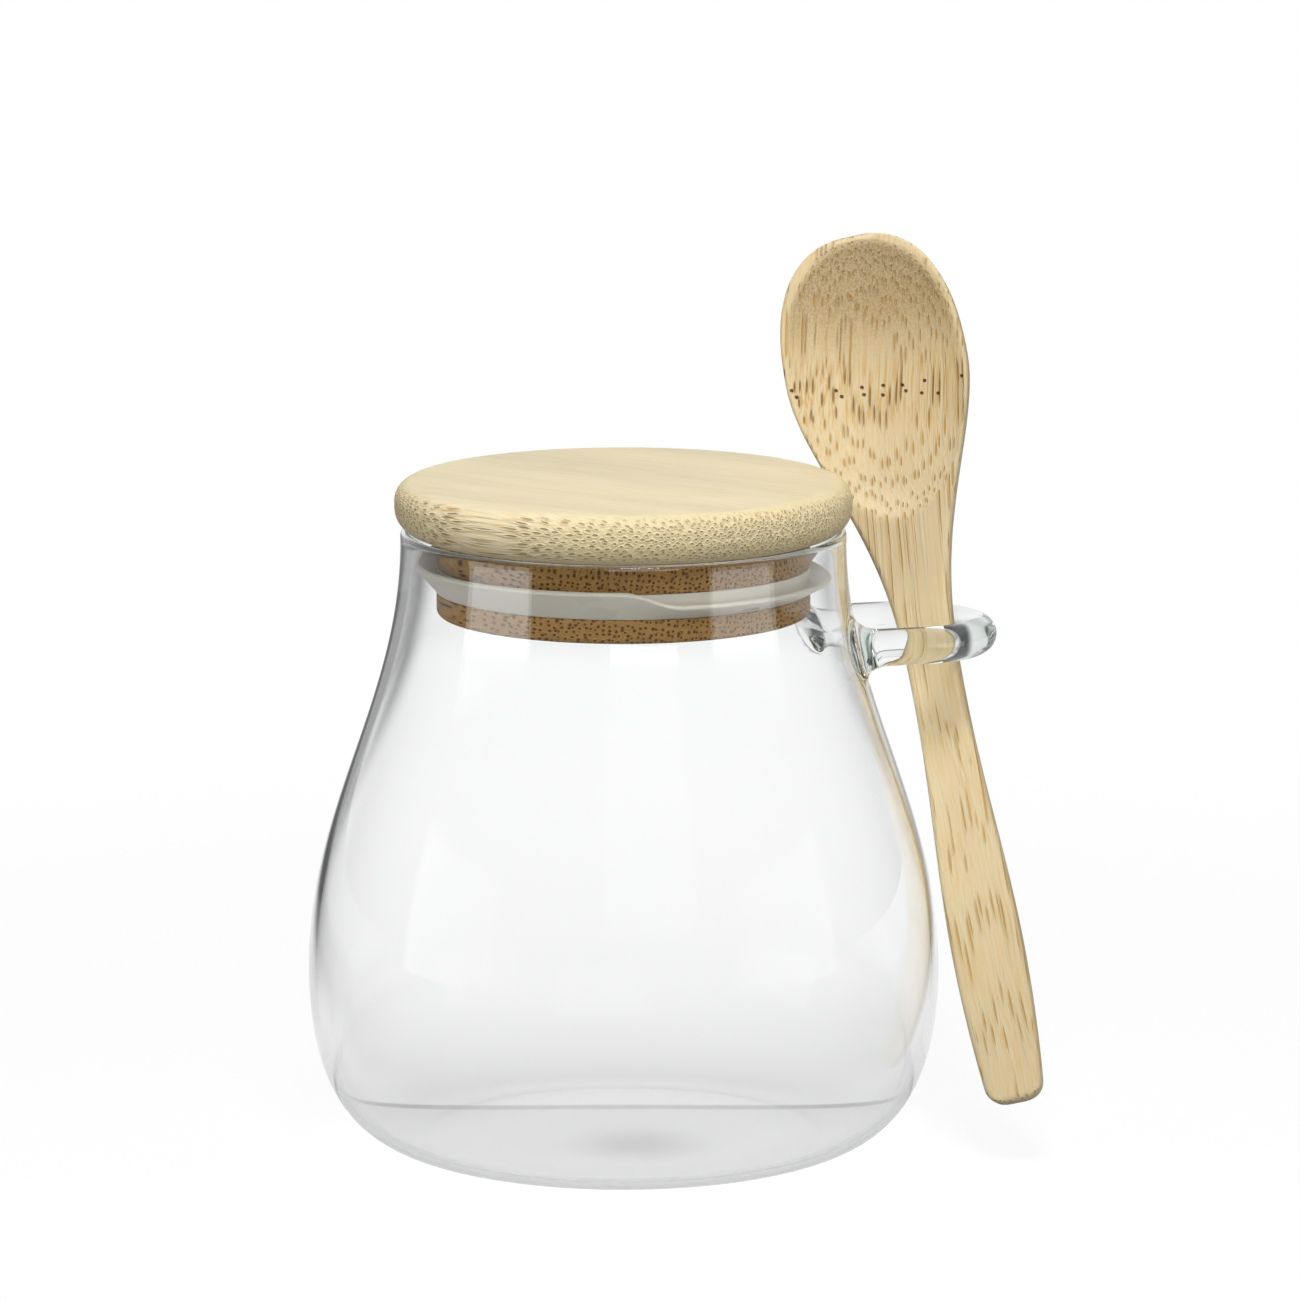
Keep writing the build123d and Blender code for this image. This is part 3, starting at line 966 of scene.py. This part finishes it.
class JAMPOT_OT_spoon(Operator):
    """Carve the bamboo spoon and hang it in the loop"""
    bl_idname = "jampot.spoon"
    bl_label = "Bamboo spoon"

    def execute(self, context):
        spoon = context.scene.jam_pot.spoon
        jar = context.scene.jam_pot.jar
        form = SpoonForm(spoon)
        bm = bmesh.new()
        rings = []
        for step in range(spoon.stations + 1):
            station = self.station(spoon, step / spoon.stations)
            rings.append([bm.verts.new((x, y, station)) for x, y in form.section(station)])
        skin(bm, rings)
        for end in (rings[0], rings[-1]):
            bm.faces.new(end)
        middle = loop_high.x - 2 * jar.rod_radius - spoon.hang_gap - form.half_width(spoon.hang_station)
        place = Matrix.Translation((middle, spoon.hang_back, loop_height))
        for turn, axis in ((spoon.turn, "Z"), (spoon.lean, "X"), (spoon.tilt, "Y")):
            place @= Matrix.Rotation(turn, 4, axis)
        place @= Matrix.Translation((0, -spoon.handle_thickness / 2, -spoon.hang_station))
        bm.transform(place)
        back = place.inverted()
        look = {"wood": spoon.wood, "bundle": spoon.bundle, "across": spoon.across, "relief": 0.12}
        look |= {"spacing": spoon.bundle_spacing / MM, "radius": spoon.bundle_radius / MM}
        look |= {"long": spoon.long_contrast, "end": spoon.end_contrast, "top": 1.0}
        look |= {"golden": 0.38, "halo": 0.4}
        turn, shift = tuple(back.to_euler()), back.to_translation()
        wood = bamboo("spoon_bamboo", look, turn, shift, spoon.node_station)
        add_piece("spoon_carved", bm, wood, "spoon", ("spoon",))
        return {"FINISHED"}

    def station(self, spoon, part):
        """Stations along the spoon, closer together towards its ends."""
        end_gap = 0.05 * MM
        span = spoon.length - 2 * end_gap
        return end_gap + span * (part - spoon.crowding * sin(2 * pi * part))


# Stage

def studio_axes(stage):
    """The camera's level directions to the right and ahead."""
    across, along = cos(stage.azimuth), sin(stage.azimuth)
    return (across, along, 0), (-along, across, 0)


def studio_rays(tree):
    """Camera rays, rays that leave the glass, and rays that were never reflected."""
    path = add(tree, "LightPath")
    in_glass = larger(path["Is Glossy Ray"], path["Is Transmission Ray"])
    in_glass *= below(path["Diffuse Depth"], 0.5)
    return path["Is Camera Ray"], in_glass, below(path["Glossy Depth"], 0.5)


def studio_floor(stage):
    """A white floor that keeps a soft shadow near the pot, and shows as a table and a wall in the glass."""
    # Painted shade: a dark line along the table's back edge, seen only through the glass
    shade_line_half, shade_line_soft, shade_line_dark = 0.9 * MM, 2.0 * MM, 0.5
    # Painted shadow: a darker spot on the table under the jar, for the lid's shade, seen only through the
    # glass
    shade_spot_right, shade_spot_ahead, shade_spot_radius, shade_spot_level = 0.002, -0.008, 0.015, 0.6
    side_start, side_end, right_lift = 0.085, 0.15, 0.4
    far_start, far_end, far_lift = 0.2, 0.34, 0.3
    front_half, front_slope, front_start, front_end = 0.06, 0.6, -0.06, -0.12
    table_front, table_light = -0.22, -0.1
    edge_soft = 1 * MM
    paper_dark, paper_light = (0.17,) * 3, (0.19,) * 3

    material, tree = new_material("studio_floor")
    seat = add(tree, "TexCoord")["Object"]
    right, ahead = studio_axes(stage)
    aside, onward = [vector("DOT_PRODUCT", {0: seat, 1: axis}, "Value") for axis in (right, ahead)]
    camera, in_glass, straight = studio_rays(tree)
    seen = larger(camera, in_glass)

    past = onward - stage.table_edge
    fade = calc("EXPONENT", larger(past, 0.0) * (-1 / stage.wall_fade))
    wall = 1.0 - fade * (1 - stage.wall_level)
    table = ease(onward, table_front, table_light, stage.front_level, stage.table_level)
    past_edge = ease(onward, stage.table_edge - edge_soft, stage.table_edge)
    level = wall * past_edge + table * (1.0 - past_edge)
    # Painted shade line at the table's back edge
    level *= 1.0 - ease(abs(past), shade_line_soft, shade_line_half) * shade_line_dark
    # Painted shadow of the lid on the table under the jar
    spot = [shade_spot_right * r + shade_spot_ahead * a for r, a in zip(right, ahead)]
    from_shade_spot = vector("DISTANCE", {0: seat, 1: spot}, "Value")
    level *= ease(from_shade_spot, 0.0, shade_spot_radius, shade_spot_level, 1.0)
    wide = abs(aside)
    beside = ease(wide, side_start, side_end, 1.0, stage.side_level)
    beside += ease(wide, far_start, far_end, 0.0, far_lift)
    beside += ease(aside, side_start, side_end, 0.0, right_lift)
    level *= beside
    reach = larger(wide - front_half, 0.0) * front_slope
    front = ease(onward - reach, front_start, front_end) * straight
    level += front * (stage.rear_level - level)

    paper = noise(seat, 40.0)["Fac"]
    paper = blend(paper, opaque(paper_dark), opaque(paper_light))
    matt = add(tree, "BsdfDiffuse", {"Color": blend(seen, paper, WHITE)})[0]
    shown = (level - 1.0) * in_glass + 1.0
    white = add(tree, "Emission", {"Color": WHITE, "Strength": shown})[0]
    away = vector("LENGTH", {0: seat}, "Value")
    near = ease(away, 0.3 * stage.shadow_radius, stage.shadow_radius, 1 - stage.shadow_share, 1.0)
    mixed = add(tree, "MixShader", {0: seen * near, 1: matt, 2: white})[0]
    add(tree, "OutputMaterial", {"Surface": mixed})
    return material


def studio_world(stage):
    """Even light from all round, seen as white by the camera and as a studio by the glass."""
    front_dark, front_light, front_clear = -0.35, 0.2, -0.3
    side_start, side_end = 0.5, 0.8
    roof_start, roof_end = 0.35, 0.8
    world = bpy.data.worlds.new("studio")
    world.use_nodes = True
    tree = world.node_tree
    tree.nodes.clear()
    way = add(tree, "TexCoord")["Generated"]
    aside, onward = [vector("DOT_PRODUCT", {0: way, 1: axis}, "Value") for axis in studio_axes(stage)]
    camera, in_glass, straight = studio_rays(tree)
    room = ease(onward, front_dark, front_light, stage.front_level, 1.0)
    room *= ease(abs(aside), side_start, side_end, 1.0, stage.side_level)
    room *= ease(parts(way)[2], roof_start, roof_end, 1.0, stage.roof_level)
    front = ease(onward, 0.0, front_clear) * straight
    room += front * (stage.rear_level - room)
    level = ease(camera, 0.0, 1.0, stage.sky_level, 1.0)
    level = level * (1.0 - in_glass) + room * in_glass
    sky = add(tree, "Background", {"Color": WHITE, "Strength": level})[0]
    add(tree, "OutputWorld", {"Surface": sky})
    return world


class JAMPOT_OT_stage(Operator):
    """Set up the white floor, the lamps and the camera"""
    bl_idname = "jampot.stage"
    bl_label = "White studio"

    def execute(self, context):
        stage = context.scene.jam_pot.stage
        scene = context.scene
        scene.view_settings.view_transform = "Standard"
        scene.world = studio_world(stage)
        self.floor(scene, stage)
        middle = Vector((0, 0, stage.box_middle))
        for turn, level in ((stage.box_left, stage.left_level), (stage.box_right, stage.right_level)):
            place = self.around(stage, turn, stage.box_distance) + middle
            self.softbox(scene, stage, place, stage.box_width, stage.box_height, level)
        lamps = [(stage.top_turn, stage.top_rise, stage.top_distance, stage.top_size, stage.top_level)]
        lamps += [(stage.fill_turn, stage.fill_rise, stage.fill_distance, stage.fill_size, stage.fill_level)]
        lamps += [(pi, stage.back_rise, stage.fill_distance, stage.back_size, stage.back_level)]
        key, _, rear = [self.lamp(scene, stage, *lamp) for lamp in lamps]
        key.visible_transmission = False
        rear.visible_camera = False
        rear.visible_glossy = False
        rear.visible_transmission = False
        self.camera(scene, stage)
        return {"FINISHED"}

    def around(self, stage, turn, distance):
        """A level place round the pot, turned from the camera's side."""
        turn += stage.azimuth
        return Vector((sin(turn), -cos(turn), 0)) * distance

    def floor(self, scene, stage):
        """A round white floor."""
        bm = bmesh.new()
        bmesh.ops.create_circle(bm, cap_ends=True, segments=96, radius=stage.floor_radius)
        mesh = bpy.data.meshes.new("floor")
        bm.to_mesh(mesh)
        bm.free()
        mesh.materials.append(studio_floor(stage))
        floor = bpy.data.objects.new("floor", mesh)
        floor.location.z = -0.2 * MM
        scene.collection.objects.link(floor)

    def lamp(self, scene, stage, turn, rise, distance, size, level):
        """A square lamp at a rise above the floor."""
        place = self.around(stage, turn, distance * cos(rise))
        place.z = distance * sin(rise)
        return self.softbox(scene, stage, place, size, size, level)

    def softbox(self, scene, stage, place, width, height, level):
        """A soft lamp that faces the pot."""
        lamp = bpy.data.lights.new("softbox", "AREA")
        lamp.shape = "RECTANGLE"
        lamp.size = width
        lamp.size_y = height
        lamp.energy = level * pi * width * height
        holder = bpy.data.objects.new("softbox", lamp)
        holder.location = place
        aim = Vector((0, 0, stage.look_height)) - holder.location
        holder.rotation_euler = aim.to_track_quat("-Z", "Y").to_euler()
        scene.collection.objects.link(holder)
        return holder

    def camera(self, scene, stage):
        """The camera, at the photograph's viewing angle."""
        lens = bpy.data.cameras.new("camera")
        lens.lens = stage.focal
        lens.sensor_width = 36
        lens.clip_end = 100
        holder = bpy.data.objects.new("camera", lens)
        level = self.around(stage, 0, cos(stage.elevation))
        back = level + Vector((0, 0, sin(stage.elevation)))
        right = Vector((0, 0, 1)).cross(back).normalized()
        up = back.cross(right)
        holder.location = Vector((0, 0, stage.look_height)) + back * stage.distance
        aim = right * stage.aim_right + up * stage.aim_up - back
        holder.rotation_euler = aim.to_track_quat("-Z", "Y").to_euler()
        scene.collection.objects.link(holder)
        scene.camera = holder


class JAMPOT_PT_panel(Panel):
    """Lists the steps that dress the jam pot"""
    bl_idname = "JAMPOT_PT_panel"
    bl_label = "Jam Pot"
    bl_space_type = "VIEW_3D"
    bl_region_type = "UI"
    bl_category = "Jam Pot"

    def draw(self, context):
        pot = context.scene.jam_pot
        for step, group in zip(STEPS, (pot.jar, pot.lid, pot.seal, pot.spoon, pot.stage)):
            box = self.layout.box()
            box.operator(step.bl_idname)
            for name in group.bl_rna.properties.keys():
                if name not in ("rna_type", "name"):
                    box.prop(group, name)


STEPS = (JAMPOT_OT_glass, JAMPOT_OT_lid, JAMPOT_OT_seal, JAMPOT_OT_spoon, JAMPOT_OT_stage)
GROUPS = (JarSettings, LidSettings, SealSettings, SpoonSettings, StageSettings, JamPotSettings)
CLASSES = GROUPS + STEPS + (JAMPOT_PT_panel,)


def register():
    for made in CLASSES:
        bpy.utils.register_class(made)
    bpy.types.Scene.jam_pot = PointerProperty(type=JamPotSettings)


def unregister():
    del bpy.types.Scene.jam_pot
    for made in reversed(CLASSES):
        bpy.utils.unregister_class(made)


def main():
    """Make every piece and the stage."""
    register()
    bpy.ops.jampot.glass()
    bpy.ops.jampot.lid()
    bpy.ops.jampot.seal()
    bpy.ops.jampot.spoon()
    bpy.ops.jampot.stage()


if __name__ == "__main__":
    main()
